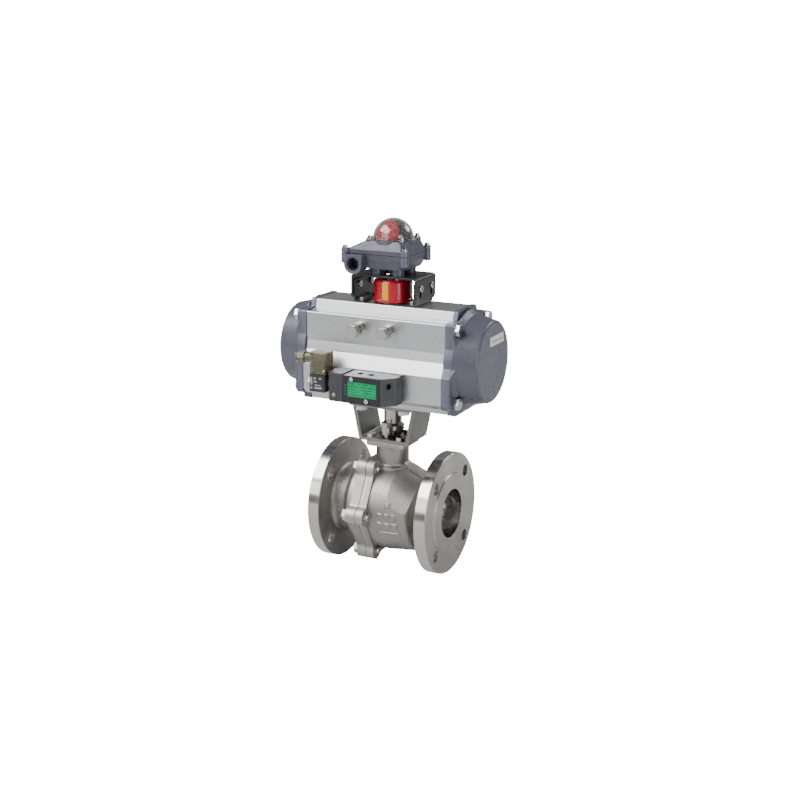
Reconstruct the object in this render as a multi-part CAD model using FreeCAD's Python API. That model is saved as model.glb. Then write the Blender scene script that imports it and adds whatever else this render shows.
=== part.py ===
import FreeCAD, Part
import os
from math import acos, cos, hypot, pi, radians, sin, sqrt, tan

# A quarter-turn ball valve with a spring-return rack and pinion actuator, a pilot valve on its
# side and a limit switch box on top. Millimetres. The pipe runs along X, the stem along Z, and
# the pieces are drawn about the crossing of the two; place() then moves the crossing so that the
# origin is at the middle of the inlet flange's raised face. Drawn closed, as it stands without air.

V = FreeCAD.Vector
AXES = {"x": V(1, 0, 0), "y": V(0, 1, 0), "z": V(0, 0, 1)}

# ---- driving dimensions -----------------------------------------------------------------------
FACE_TO_FACE = 203.2          # 3 inch class 150, short pattern
FLANGE_R = 95.25
RIM_T = 19.0
RAISED_T = 1.6
RAISED_R = 63.5
BORE_R = 38.1
FLANGE_PCD_R = 76.2
FLANGE_HOLE_R = 9.5
RIM_FACE_X = FACE_TO_FACE / 2 - RAISED_T
RIM_BACK_X = RIM_FACE_X - RIM_T

SPLIT_CAP_X = -21.5           # the two halves meet either side of a 1 mm gasket
SPLIT_BODY_X = -20.5
CAP_PLATE_X = -37.0
BODY_PLATE_X = -8.0
SPLIT_BOLT_R = 77.0
BARREL_R = 70.5
BARREL_END_R = 51.5
ROOF_SLOPE = 25.0              # the top of the barrel falls away towards the outlet flange
ROOF_X = 20.0
ROOF_Z = 70.5
ROOF_R = 72.0
CAVITY_R = 60.0
BALL_R = 58.0
SEAT_OUTER_R = 50.0
SEAT_POCKET_X = 47.0
RELIEF_R = 39.0                # the bore opens slightly where the ball bulges into it
RELIEF_END_X = 60.0
SEAT_INNER_X = 37.0

STEM_R = 11.0
RUNNING = 0.06                # radial clearance of a running fit
COLLAR_R = 17.0
SHOULDER_Z = 67.5
PACKING_R = 17.0
PACKING_Z = 78.0
PACKING_TOP_Z = 98.0
PAD_BOTTOM_Z = 101.0
PAD_TOP_Z = 108.5
PAD_HALF = 33.0
PAD_BOLT = 24.75              # the 70 mm circle of the stem pad, at 45 degrees

BASE_TOP_Z = 113.5
WINDOW_TOP_Z = 165.0
BRACKET_TOP_Z = 171.0
TOP_BOLT = 36.06              # the 102 mm circle under the actuator, at 45 degrees

AXIS_Z = 247.0                # axis of the cylinder
CYLINDER_R = 57.5
BODY_HALF_X = 115.0
BODY_TOP_Z = 323.5
PITCH_R = 20.0
TEETH = 16
MODULE = 2.5
PRESSURE = radians(20)
BACKLASH = 0.25
GEAR_Z0 = 230.0
GEAR_Z1 = 264.0
HEAD_X = 42.0
HEAD_T = 16.0
CAM_Z0 = 284.0
CAM_Z1 = 294.0
STOP_X = 24.0
STOP_Z = 291.0
CAP_BOLT = 55.0
CAP_PLATE_END = 129.0
BOLT_SEAT_X = 130.5
CAP_LIP_T = 7.0                # the cap is thinner where it covers the ridge on top
CAP_FACE_X = 165.3
SPRING_SEAT_X = 157.0

PILOT_BACK_Y = -76.9
PILOT_FACE_Y = -115.0
PILOT_Z0 = 189.0
PILOT_Z1 = 231.0
SPOOL_Y = -97.0
SPOOL_Z = 206.0
COIL_Y = -97.0
COIL_Z = 211.0

CONNECTOR_SCREW_X = -61.5
CUP_Z0 = 325.5
CUP_Z1 = 360.0
CUP_R = 29.0
SWITCH_PLATE_Z = 367.0
BRACKET_SIDE_X = 54.5
FOOT_SIDE_X = 51.4
FOOT_BOLT_X = 42.0
FOOT_BOLT_Y = 20.0
LEG_X = 18.0
LEG_Y = 21.0
BOX_CENTRE_X = -12.0
BOX_HALF_X = 50.0
BOX_HALF_Y = 39.2
BOX_FLOOR_Z = 377.0
BOX_RIM_Z = 398.0
DOME_Z = 420.0
DOME_R = 31.0
DOME_WALL = 1.6
LUG = 26.5                     # the dome is screwed down at four lugs on the diagonals
ROTOR_R = 28.4


# ---- shapes -----------------------------------------------------------------------------------
def point(axis, along, a, b):
    """A point given by its place along one axis and, in X, Y, Z order, the other two."""
    if axis == "x":
        return V(along, a, b)
    if axis == "y":
        return V(a, along, b)
    return V(a, b, along)


def rod(axis, radius, start, end, a=0.0, b=0.0):
    low = min(start, end)
    return Part.makeCylinder(radius, abs(end - start), point(axis, low, a, b), AXES[axis])


def ring(axis, outer, inner, start, end, a=0.0, b=0.0):
    low, high = min(start, end), max(start, end)
    return rod(axis, outer, low, high, a, b).cut(rod(axis, inner, low - 1, high + 1, a, b))


def block(x0, x1, y0, y1, z0, z1):
    return Part.makeBox(x1 - x0, y1 - y0, z1 - z0, V(x0, y0, z0))


def join(shapes):
    whole = shapes[0]
    if len(shapes) > 1:
        whole = whole.multiFuse(shapes[1:])
    return whole.removeSplitter()


def cut(shape, tools):
    for tool in tools:
        shape = shape.cut(tool)
    return shape


def group(shapes):
    return Part.makeCompound(shapes)


def outline(corners, spot):
    """A closed wire through corners (u, v) or (u, v, radius); spot(u, v) puts one in space."""
    full = [tuple(c) + (0.0,) * (3 - len(c)) for c in corners]
    count = len(full)
    spans = []
    for i, (u, v, radius) in enumerate(full):
        before = full[i - 1]
        after = full[(i + 1) % count]
        if radius <= 0:
            spans.append(((u, v), None, (u, v)))
            continue
        a = (before[0] - u, before[1] - v)
        b = (after[0] - u, after[1] - v)
        a = (a[0] / hypot(*a), a[1] / hypot(*a))
        b = (b[0] / hypot(*b), b[1] / hypot(*b))
        half = acos(a[0] * b[0] + a[1] * b[1]) / 2
        reach = radius / tan(half)
        mid = (a[0] + b[0], a[1] + b[1])
        mid = (mid[0] / hypot(*mid), mid[1] / hypot(*mid))
        depth = radius / sin(half) - radius
        spans.append((
            (u + a[0] * reach, v + a[1] * reach),
            (u + mid[0] * depth, v + mid[1] * depth),
            (u + b[0] * reach, v + b[1] * reach),
        ))
    edges = []
    for i, (start, middle, end) in enumerate(spans):
        if middle:
            edges.append(Part.Arc(spot(*start), spot(*middle), spot(*end)).toShape())
        following = spans[(i + 1) % count][0]
        if hypot(following[0] - end[0], following[1] - end[1]) > 1e-6:
            edges.append(Part.makeLine(spot(*end), spot(*following)))
    return Part.Wire(Part.__sortEdges__(edges))


def extruded(corners, axis, start, end):
    """A prism along an axis; corners are the other two coordinates in X, Y, Z order."""
    wire = outline(corners, lambda u, v: point(axis, start, u, v))
    return Part.Face(wire).extrude(AXES[axis] * (end - start))


def turned(corners, axis, a=0.0, b=0.0):
    """A solid of revolution; corners are (along, radius)."""
    if axis == "x":
        spot = lambda u, v: V(u, v, 0)
    elif axis == "y":
        spot = lambda u, v: V(v, u, 0)
    else:
        spot = lambda u, v: V(v, 0, u)
    shape = Part.Face(outline(corners, spot)).revolve(V(0, 0, 0), AXES[axis], 360)
    shape.translate(point(axis, 0, a, b))
    return shape


def rectangle(half_u, half_v, radius, u=0.0, v=0.0):
    return [
        (u - half_u, v - half_v, radius),
        (u + half_u, v - half_v, radius),
        (u + half_u, v + half_v, radius),
        (u - half_u, v + half_v, radius),
    ]


def hexagon(axis, flats, start, end, a=0.0, b=0.0):
    """A hex prism whose `start` end is plain and whose `end` end has its corners turned off."""
    corner = flats / sqrt(3)
    corners = [(a + corner * cos(k * pi / 3), b + corner * sin(k * pi / 3)) for k in range(6)]
    prism = extruded(corners, axis, start, end)
    sign = 1 if end > start else -1
    land = flats * 0.475
    drop = (corner - land) * tan(radians(30))
    limit = [(start, 0), (start, corner + 1), (end - sign * (drop - 0.577), corner + 1)]
    limit += [(end, land), (end, 0)]
    return prism.common(turned(limit, axis, a, b))


def hex_bolt(axis, seat, sign, a, b, size, length, flats, head):
    """A hex bolt with its head on `seat`, on the `sign` side, and its shank the other way."""
    tip = seat - sign * length
    shank = [(seat, 0), (seat, size / 2), (tip + sign, size / 2), (tip, size / 2 - 1), (tip, 0)]
    return join([turned(shank, axis, a, b), hexagon(axis, flats, seat, seat + sign * head, a, b)])


def socket_screw(axis, seat, sign, a, b, size, length, head_r, head):
    """A cap screw with a round head and a hex socket."""
    top = seat + sign * head
    body = [(top, 0), (top, head_r - 0.4), (top - sign * 0.4, head_r), (seat, head_r)]
    body += [(seat, size / 2), (seat - sign * length, size / 2), (seat - sign * length, 0)]
    flats = head_r * 0.95
    corners = [
        (a + flats / sqrt(3) * cos(k * pi / 3), b + flats / sqrt(3) * sin(k * pi / 3))
        for k in range(6)
    ]
    socket = extruded(corners, axis, top - sign * head * 0.55, top + sign)
    return turned(body, axis, a, b).cut(socket)


def pan_screw(axis, seat, sign, a, b, size, length, head_r, head):
    """A pan head screw with a cross recess."""
    top = seat + sign * head
    body = [(top, 0), (top, head_r, head * 0.7), (seat, head_r), (seat, size / 2)]
    body += [(seat - sign * length, size / 2), (seat - sign * length, 0)]
    screw = turned(body, axis, a, b)
    low, high = sorted((top - sign * head * 0.5, top + sign))
    for long_u, long_v in ((0.62 * head_r, 0.14 * head_r), (0.14 * head_r, 0.62 * head_r)):
        screw = screw.cut(extruded(rectangle(long_u, long_v, 0, a, b), axis, low, high))
    return screw


def around(count, radius, first=0.0):
    for k in range(count):
        angle = first + 2 * pi * k / count
        yield radius * cos(angle), radius * sin(angle)


def corners_of(half_a, half_b, a=0.0, b=0.0):
    return [(a + i * half_a, b + j * half_b) for i in (-1, 1) for j in (-1, 1)]


NODES = {}


def add(name, shape):
    shape.translate(V(FACE_TO_FACE / 2, 0, 0))
    NODES[name] = shape


# ---- valve ------------------------------------------------------------------------------------
def split_plate(start, end):
    """The bolted flange between the halves: a hexagon with a lobe at each bolt."""
    flats_r = 73.0
    point_r = flats_r / cos(pi / 6)
    plate = extruded([(y, z, 6.0) for y, z in around(6, point_r)], "x", start, end)
    lobes = [rod("x", 14.0, start, end, y, z) for y, z in around(6, SPLIT_BOLT_R)]
    plate = join([plate] + lobes)
    inner = [
        e for e in plate.Edges
        if abs(e.Length - abs(end - start)) < 1e-3
        and 74 < hypot(e.CenterOfMass.y, e.CenterOfMass.z) < 84
    ]
    return plate.makeFillet(7.0, inner)


def flange_holes(side):
    start = side * (RIM_BACK_X - 12)
    end = side * (RIM_FACE_X + 5)
    return [rod("x", FLANGE_HOLE_R, start, end, y, z) for y, z in around(4, FLANGE_PCD_R, pi / 4)]


def end_flange(side):
    """The rim with its raised face, as corners from the back of the rim outwards."""
    back, face, raised = (side * v for v in (RIM_BACK_X, RIM_FACE_X, RIM_FACE_X + RAISED_T))
    return [(back, FLANGE_R, 1.2), (face, FLANGE_R, 1.2), (face, RAISED_R), (raised, RAISED_R, 0.6)]


def valve_body():
    barrel = [
        (SPLIT_BODY_X, 0), (SPLIT_BODY_X, BARREL_END_R), (RIM_BACK_X, BARREL_END_R, 7),
    ] + end_flange(1) + [(RIM_FACE_X + RAISED_T, 0)]
    belly = turned([
        (SPLIT_BODY_X, 0), (SPLIT_BODY_X, BARREL_R), (8, BARREL_R, 60), (54, 66, 9), (62, 51, 5), (66, 50.5),
        (66, 0),
    ], "x")
    roof = rod("x", ROOF_R, -140, 140)
    roof.rotate(V(0, 0, 0), V(0, 1, 0), ROOF_SLOPE)
    roof.translate(V(ROOF_X, 0, ROOF_Z - ROOF_R / cos(radians(ROOF_SLOPE))))
    level = block(-60, ROOF_X, -90, 90, -90, 90)
    below = block(-60, 90, -90, 90, -90, 0)
    belly = belly.common(join([roof, level, below]))
    neck = turned([
        (45, 0), (45, 31), (67, 31, 2.5), (70, 25.5, 4), (PAD_BOTTOM_Z, 25.5, 3),
        (PAD_BOTTOM_Z, 30), (PAD_BOTTOM_Z + 1, 30), (PAD_BOTTOM_Z + 1, 0),
    ], "z").cut(block(-60, SPLIT_BODY_X, -60, 60, 0, 74.5))
    pad = extruded(rectangle(PAD_HALF, PAD_HALF, 10), "z", PAD_BOTTOM_Z, PAD_TOP_Z)
    gusset = extruded([(20, 40), (20, 78), (27, 71, 5), (58, 55.5, 8), (84, 55), (84, 40)], "y", -9, 9)
    split = split_plate(SPLIT_BODY_X, BODY_PLATE_X)
    whole = join([turned(barrel, "x"), belly, neck, pad, gusset, split])
    cavity = turned([
        (SPLIT_BODY_X - 1, 0), (SPLIT_BODY_X - 1, CAVITY_R), (14, CAVITY_R, 6),
        (SEAT_INNER_X - 1, SEAT_OUTER_R + 0.1), (SEAT_POCKET_X, SEAT_OUTER_R + 0.1),
        (SEAT_POCKET_X, RELIEF_R), (RELIEF_END_X, RELIEF_R), (RELIEF_END_X, BORE_R),
        (120, BORE_R), (120, 0),
    ], "x")
    stem_way = turned([
        (20, 0), (20, COLLAR_R + 0.3), (SHOULDER_Z, COLLAR_R + 0.3), (SHOULDER_Z, STEM_R + RUNNING),
        (PACKING_Z, STEM_R + RUNNING), (PACKING_Z, PACKING_R + 0.05),
        (PAD_TOP_Z + 5, PACKING_R + 0.05), (PAD_TOP_Z + 5, 0),
    ], "z")
    split_holes = [
        rod("x", 6.05, SPLIT_BODY_X - 1, BODY_PLATE_X + 30, y, z)
        for y, z in around(6, SPLIT_BOLT_R)
    ]
    faces = [
        rod("x", 10.0, BODY_PLATE_X, BODY_PLATE_X + 14, y, z) for y, z in around(6, SPLIT_BOLT_R + 1.5)
    ]
    pad_holes = [
        rod("z", 4.05, PAD_TOP_Z - 6, PAD_TOP_Z + 1, x, y) for x, y in corners_of(PAD_BOLT, PAD_BOLT)
    ]
    tools = [cavity, stem_way] + flange_holes(1) + split_holes + pad_holes
    return cut(whole, tools)


def end_cap():
    hub = [
        (-RIM_FACE_X - RAISED_T, 0),
    ] + end_flange(-1)[::-1] + [
        (-RIM_BACK_X, 52, 8), (-58, 52, 7), (-51, 62, 6), (CAP_PLATE_X, 62), (CAP_PLATE_X + 4, 62),
        (CAP_PLATE_X + 4, 0),
    ]
    split = split_plate(CAP_PLATE_X, SPLIT_CAP_X)
    spigot = rod("x", CAVITY_R - 0.15, SPLIT_CAP_X - 1, -18.6)
    whole = join([turned(hub, "x"), split, spigot])
    cavity = turned([
        (-10, 0), (-10, CAVITY_R - 4), (SPLIT_CAP_X, CAVITY_R - 4), (-SEAT_INNER_X + 1, SEAT_OUTER_R + 0.1),
        (-SEAT_POCKET_X, SEAT_OUTER_R + 0.1), (-SEAT_POCKET_X, RELIEF_R), (-RELIEF_END_X, RELIEF_R),
        (-RELIEF_END_X, BORE_R), (-120, BORE_R), (-120, 0),
    ], "x")
    ball_room = Part.makeSphere(BALL_R + 1.0)
    holes = [
        rod("x", 6.75, CAP_PLATE_X - 25, SPLIT_CAP_X + 1, y, z) for y, z in around(6, SPLIT_BOLT_R)
    ]
    seats = [
        rod("x", 11.0, CAP_PLATE_X - 20, CAP_PLATE_X, y, z) for y, z in around(6, SPLIT_BOLT_R + 1)
    ]
    return cut(whole, [cavity, ball_room] + flange_holes(-1) + holes + seats)


def ball():
    bore = rod("y", BORE_R, -BALL_R - 1, BALL_R + 1)
    slot = block(-40, 40, -7.1, 7.1, 46, 70)
    solid = Part.makeSphere(BALL_R).cut(bore).cut(slot)
    return solid


def seat_rings():
    clear = Part.makeSphere(BALL_R + 0.1)
    shapes = []
    for side in (-1, 1):
        seat = ring("x", SEAT_OUTER_R, BORE_R + 0.9, side * SEAT_INNER_X, side * SEAT_POCKET_X)
        shapes.append(seat.cut(clear))
    return group(shapes)


def double_d(radius, flat, start, end):
    """A round bar with two flats facing Y."""
    return rod("z", radius, start, end).common(block(-50, 50, -flat, flat, start, end))


def stem():
    tang = block(-17, 17, -7, 7, 46.5, 60).common(rod("z", COLLAR_R, 40, 61))
    collar = rod("z", COLLAR_R, 59.5, 66)
    shaft = rod("z", STEM_R, 66, 124)
    flats = double_d(STEM_R, 8, 124, 158)
    return join([tang, collar, shaft, flats])


def stop_plate():
    hub = rod("z", 18, 124, 131)
    arm = extruded([(-8, 0), (-8, -30.6, 7.9), (8, -30.6, 7.9), (8, 0)], "z", 124, 131)
    return cut(join([hub, arm]), [double_d(STEM_R + 0.05, 8.05, 123, 132), rod("z", 3.55, 123, 132, 0, -22.6)])


def stop_plate_bolt():
    bolt = hex_bolt("z", 131, 1, 0, -22.6, 7.0, 21, 16, 8)
    nut = hexagon("z", 11, 124, 119.3, 0, -22.6).cut(rod("z", 3.55, 110, 130, 0, -22.6))
    return group([bolt, nut])


def coupling():
    sleeve = turned([(134, 0), (134, 14, 1), (170.9, 14), (170.9, 0)], "z")
    tang = extruded(rectangle(9.4, 9.4, 0.8), "z", 170.9, 191)
    return join([sleeve, tang]).cut(double_d(STEM_R + 0.05, 8.05, 133, 158.5))


def mounting_bracket():
    slope = (53.5 - 42.0) / (WINDOW_TOP_Z - PAD_TOP_Z)

    def side(z):
        return 42.0 + slope * (z - PAD_TOP_Z)

    outer = [
        (-42, PAD_TOP_Z, 2), (42, PAD_TOP_Z, 2),
        (side(WINDOW_TOP_Z), WINDOW_TOP_Z), (-side(WINDOW_TOP_Z), WINDOW_TOP_Z),
    ]
    inner = [
        (-side(BASE_TOP_Z) + 6.1, BASE_TOP_Z, 3), (side(BASE_TOP_Z) - 6.1, BASE_TOP_Z, 3),
        (side(WINDOW_TOP_Z) - 6.1, WINDOW_TOP_Z), (-side(WINDOW_TOP_Z) + 6.1, WINDOW_TOP_Z),
    ]
    frame = extruded(outer, "y", -33, 33).cut(extruded(inner, "y", -34, 34))
    top = extruded(rectangle(54, 44, 3), "z", WINDOW_TOP_Z, BRACKET_TOP_Z)
    tools = [rod("z", 27.5, 100, 120), rod("z", 30, 160, 180)]
    tools += [rod("z", 4.5, 100, 120, x, y) for x, y in corners_of(PAD_BOLT, PAD_BOLT)]
    tools += [rod("z", 5.5, 160, 180, x, y) for x, y in corners_of(TOP_BOLT, TOP_BOLT)]
    return cut(join([frame, top]), tools)


def valve():
    add("valve_body", valve_body())
    add("end_cap", end_cap())
    add("body_gasket", ring("x", 66, CAVITY_R + 0.2, SPLIT_CAP_X, SPLIT_BODY_X))
    add("seat_rings", seat_rings())
    add("body_bolts", group([
        hex_bolt("x", CAP_PLATE_X, -1, y, z, 12, 34, 18, 8) for y, z in around(6, SPLIT_BOLT_R)
    ]))
    add("stem_seals", group([
        ring("z", COLLAR_R, STEM_R + RUNNING, 66.1, SHOULDER_Z),
        ring("z", PACKING_R, STEM_R + RUNNING, PACKING_Z, PACKING_TOP_Z),
    ]))
    add("gland_ring", ring("z", PACKING_R - 0.1, STEM_R + 0.1, PACKING_TOP_Z, 111.5))
    add("ball", ball())
    add("stem", stem())
    cone = [(111.9, 11.2), (111.9, 12.8), (114.0, 17.5), (116.1, 12.8), (116.1, 11.2), (114.6, 11.2)]
    add("stem_nut_and_spring", group([
        turned(cone + [(114.6, 13), (113.4, 13), (113.4, 11.2)], "z"),
        hexagon("z", 27, 116.2, 124).cut(rod("z", STEM_R + 0.02, 110, 130)),
    ]))
    add("stop_plate", stop_plate())
    add("stop_plate_bolt", stop_plate_bolt())
    add("mounting_bracket", mounting_bracket())
    add("bracket_bolts", group([
        hex_bolt("z", BASE_TOP_Z, 1, x, y, 8, BASE_TOP_Z - PAD_TOP_Z + 5.5, 13, 5.3)
        for x, y in corners_of(PAD_BOLT, PAD_BOLT)
    ] + [
        hex_bolt("z", WINDOW_TOP_Z, -1, x, y, 10, 18, 17, 6.4) for x, y in corners_of(TOP_BOLT, TOP_BOLT)
    ]))
    add("coupling", coupling())


# ---- actuator ---------------------------------------------------------------------------------
def body_profile(grow=0.0, radius=1.0):
    """Half the extruded section, mirrored: (y, z) corners."""
    g = grow
    half = [
        (32 + g, BODY_TOP_Z + g, radius * 2), (36 + g, 311 + g, radius), (63.4 + g, 309.5 + g, radius * 2),
        (63.4 + g, 266.3, radius), (65.9 + g, 252.3, radius), (75.9 + g, 232, radius),
        (75.9 + g, 190.4 - g, radius * 2), (70 + g, 184.5 - g, radius), (52 + g, 182 - g, radius),
        (50 + g, 171 - g * 0.5, radius),
    ]
    return half + [(-y, z, r) for y, z, r in reversed(half)]


def actuator_body():
    body = extruded(body_profile(), "x", -BODY_HALF_X, BODY_HALF_X)
    tools = [rod("x", CYLINDER_R, -BODY_HALF_X - 1, BODY_HALF_X + 1, 0, AXIS_Z)]
    tools += [rod("z", 23.05, 160, 200), rod("z", 18.05, 300, 330)]
    tools += [rod("y", 6.05, -90, -20, x, STOP_Z) for x in (-STOP_X, STOP_X)]
    tools += [rod("z", 5.05, 165, 184, x, y) for x, y in corners_of(TOP_BOLT, TOP_BOLT)]
    for side in (-1, 1):
        for y, z in corners_of(CAP_BOLT, CAP_BOLT, 0, AXIS_Z):
            tools.append(rod("x", 5.05, side * 90, side * 120, y, z))
    tools += [rod("y", 3.0, -80, -50, x, 210) for x in (-12, 12)]
    tools += [rod("z", 2.55, 312, 330, x, y) for x, y in corners_of(FOOT_BOLT_X, FOOT_BOLT_Y)]
    slots = []
    for z in (200, 216):
        slots.append(block(-BODY_HALF_X - 1, BODY_HALF_X + 1, 74.7, 80, z - 3, z + 3))
    return cut(body, tools + slots)


def gear_outline():
    """An involute gear section, tooth centred on the +X axis."""
    base_r = PITCH_R * cos(PRESSURE)
    tip_r = PITCH_R + MODULE
    root_r = PITCH_R - 1.25 * MODULE
    half_tooth = pi / 2 / TEETH - BACKLASH / 2 / PITCH_R
    involute_at_pitch = tan(PRESSURE) - PRESSURE
    flank = []
    steps = 7
    for k in range(steps + 1):
        r = base_r + (tip_r - base_r) * k / steps
        roll = acos(base_r / r)
        flank.append((r, half_tooth + involute_at_pitch - (tan(roll) - roll)))
    corners = []
    for k in range(TEETH):
        centre = 2 * pi * k / TEETH
        start = flank[0][1]
        corners.append((root_r, centre - start - 0.01))
        corners += [(r, centre - a) for r, a in flank]
        corners += [(r, centre + a) for r, a in reversed(flank)]
        corners.append((root_r, centre + start + 0.01))
    return [(r * cos(a), r * sin(a)) for r, a in corners]


def cam_plate():
    """Two stop lobes at right angles, each with its flat side 10 mm off the axis."""
    lobes = join([block(0, 30, -10, 10, CAM_Z0, CAM_Z1), block(-10, 10, 0, 30, CAM_Z0, CAM_Z1)])
    return join([rod("z", 16.5, CAM_Z0, CAM_Z1), lobes.common(rod("z", 27.5, CAM_Z0, CAM_Z1))])


def pinion():
    shaft = turned([
        (171.6, 0), (171.6, 20), (192, 20), (192, 16), (303, 16), (303, 15), (BODY_TOP_Z + 0.2, 15),
        (BODY_TOP_Z + 0.2, 13.5), (BODY_TOP_Z + 1.9, 13.5), (BODY_TOP_Z + 1.9, 15), (BODY_TOP_Z + 4, 15),
        (BODY_TOP_Z + 4, 11), (343, 11), (343, 0),
    ], "z")
    gear = extruded(gear_outline(), "z", GEAR_Z0, GEAR_Z1)
    socket = extruded(rectangle(9.55, 9.55, 0), "z", 160, 192)
    return cut(join([shaft, gear, cam_plate()]), [socket, rod("z", 2.6, 325, 350)])


def rack():
    """Teeth on the side that faces +Y, for the rack in front of the pinion."""
    pitch = pi * MODULE
    lean = tan(PRESSURE)
    root_y = -PITCH_R - 1.25 * MODULE
    tip_y = -PITCH_R + MODULE
    half = pitch / 4 - BACKLASH / 4
    top = half - MODULE * lean
    foot = half + 1.25 * MODULE * lean
    corners = [(-39.8, -42.0), (-39.8, root_y)]
    for k in range(-5, 2):
        x = (k + 0.5) * pitch
        corners += [(x - foot, root_y), (x - top, tip_y), (x + top, tip_y), (x + foot, root_y)]
    corners += [(HEAD_X + 1, root_y), (HEAD_X + 1, -42.0)]
    return extruded(corners, "z", GEAR_Z0 + 1, GEAR_Z1 - 1)


def piston():
    """The piston on the +X side, whose rack runs in front of the pinion."""
    start, end = HEAD_X, HEAD_X + HEAD_T
    head = turned([
        (start, 0), (start, 57.2, 1), (start + 5.8, 57.2), (start + 5.8, 53.2), (start + 10.2, 53.2),
        (start + 10.2, 57.2), (end, 57.2, 1), (end, 0),
    ], "x", 0, AXIS_Z)
    rib = block(start - 8, start + 1, -44, -24, GEAR_Z0 - 8, GEAR_Z1 + 8)
    pockets = [rod("x", 13.5, end - 4, end + 1, y, AXIS_Z + z) for y, z in around(3, 34, pi / 2)]
    return cut(join([head, rack(), rib]), pockets)


def turned_over(shape):
    """The same shape on the other side of the stem."""
    other = shape.copy()
    other.rotate(V(0, 0, 0), V(0, 0, 1), 180)
    return other


def spring(y, z):
    wire_r, mean_r, turns = 1.8, 10.0, 8
    start = HEAD_X + HEAD_T - 4 + wire_r
    length = SPRING_SEAT_X - wire_r - start
    helix = Part.makeHelix(length / turns, length, mean_r)
    section = Part.Wire(Part.makeCircle(wire_r, V(mean_r, 0, 0), V(0, 1, 0)))
    coil = Part.Wire(helix.Edges).makePipeShell([section], True, True)
    coil.rotate(V(0, 0, 0), V(0, 1, 0), 90)
    coil.translate(V(start, y, z))
    return coil


def springs():
    return group([spring(y, AXIS_Z + z) for y, z in around(3, 34, pi / 2)])


def actuator_cap():
    inner = BODY_HALF_X + 0.4
    plate = extruded(body_profile(1.2, 1.6), "x", inner, CAP_PLATE_END)
    rim = [e for e in plate.Edges if min(v.X for v in e.Vertexes) > CAP_PLATE_END - 0.01]
    plate = plate.makeChamfer(1.2, rim)
    drum = turned([
        (inner, 0), (inner, 70), (CAP_PLATE_END, 70, 2), (CAP_FACE_X, 61.5, 4), (CAP_FACE_X, 0),
    ], "x", 0, AXIS_Z)
    foot = turned([
        (CAP_PLATE_END - 3, 0), (CAP_PLATE_END - 3, 76), (CAP_PLATE_END, 76, 0), (CAP_PLATE_END + 5, 68.5, 5),
        (CAP_PLATE_END + 9, 67.5), (CAP_PLATE_END + 9, 0),
    ], "x", 0, AXIS_Z)
    lower = body_profile(0.0, 1.6)
    foot = foot.common(extruded(lower, "x", inner, CAP_FACE_X))
    ridge = block(inner + CAP_LIP_T, CAP_PLATE_END + 1, -45, 45, 311.8, 340)
    bosses = [rod("x", 11, inner, BOLT_SEAT_X, y, z) for y, z in corners_of(CAP_BOLT, CAP_BOLT, 0, AXIS_Z)]
    outline_all = extruded(body_profile(1.2, 1.6), "x", inner, BOLT_SEAT_X)
    whole = join([plate.cut(ridge), drum, foot] + [boss.common(outline_all) for boss in bosses])
    room = rod("x", 54.5, inner - 1, SPRING_SEAT_X, 0, AXIS_Z)
    tools = [room]
    for y, z in corners_of(CAP_BOLT, CAP_BOLT, 0, AXIS_Z):
        tools.append(rod("x", 11.5, BOLT_SEAT_X, 200, y, z))
        tools.append(rod("x", 5.5, inner - 1, BOLT_SEAT_X + 1, y, z))
    return cut(whole, tools)


def actuator():
    add("actuator_body", actuator_body())
    cap = actuator_cap()
    add("actuator_cap_left", turned_over(cap))
    add("actuator_cap_right", cap)
    seal = extruded(body_profile(0.3, 1.0), "x", BODY_HALF_X, BODY_HALF_X + 0.4)
    seal = seal.cut(rod("x", CYLINDER_R, 100, 130, 0, AXIS_Z))
    for y, z in corners_of(CAP_BOLT, CAP_BOLT, 0, AXIS_Z):
        seal = seal.cut(rod("x", 5.5, 100, 130, y, z))
    add("cap_seals", group([seal, turned_over(seal)]))
    bolts = [
        hex_bolt("x", BOLT_SEAT_X, 1, y, z, 10, 35, 17, 6.4)
        for y, z in corners_of(CAP_BOLT, CAP_BOLT, 0, AXIS_Z)
    ]
    add("cap_bolts", group(bolts + [turned_over(b) for b in bolts]))
    add("pinion_bushes", group([
        ring("z", 23, 20 + RUNNING, 171.4, 190.5), ring("z", 18, 15 + RUNNING, 303.4, BODY_TOP_Z),
    ]))
    pieces = []
    for x in (-STOP_X, STOP_X):
        shank = turned([(-10.4, 0), (-10.4, 5), (-11.4, 6), (-80, 6), (-80, 0)], "y", x, STOP_Z)
        head = hexagon("y", 17, -79, -90, x, STOP_Z)
        washer = ring("y", 11.5, 6.05, -63.4, -65.4, x, STOP_Z)
        nut = hexagon("y", 18, -65.4, -74, x, STOP_Z).cut(rod("y", 6.05, -110, 0, x, STOP_Z))
        pieces += [join([shank, head]), washer, nut]
    add("stop_bolts", group(pieces))
    coils = springs()
    add("springs_left", turned_over(coils))
    add("springs_right", coils)
    add("pinion", pinion())
    add("pinion_ring_and_screw", group([
        ring("z", 18.5, 13.6, BODY_TOP_Z + 0.3, BODY_TOP_Z + 1.8),
        socket_screw("z", 347, 1, 0, 0, 5.0, 18, 4.5, 2.8),
    ]))
    right = piston()
    add("piston_left", turned_over(right))
    add("piston_right", right)
    seal = Part.makeTorus(55.4, 2.0, V(HEAD_X + 8, 0, AXIS_Z), AXES["x"])
    add("piston_seal_left", turned_over(seal))
    add("piston_seal_right", seal)


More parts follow.
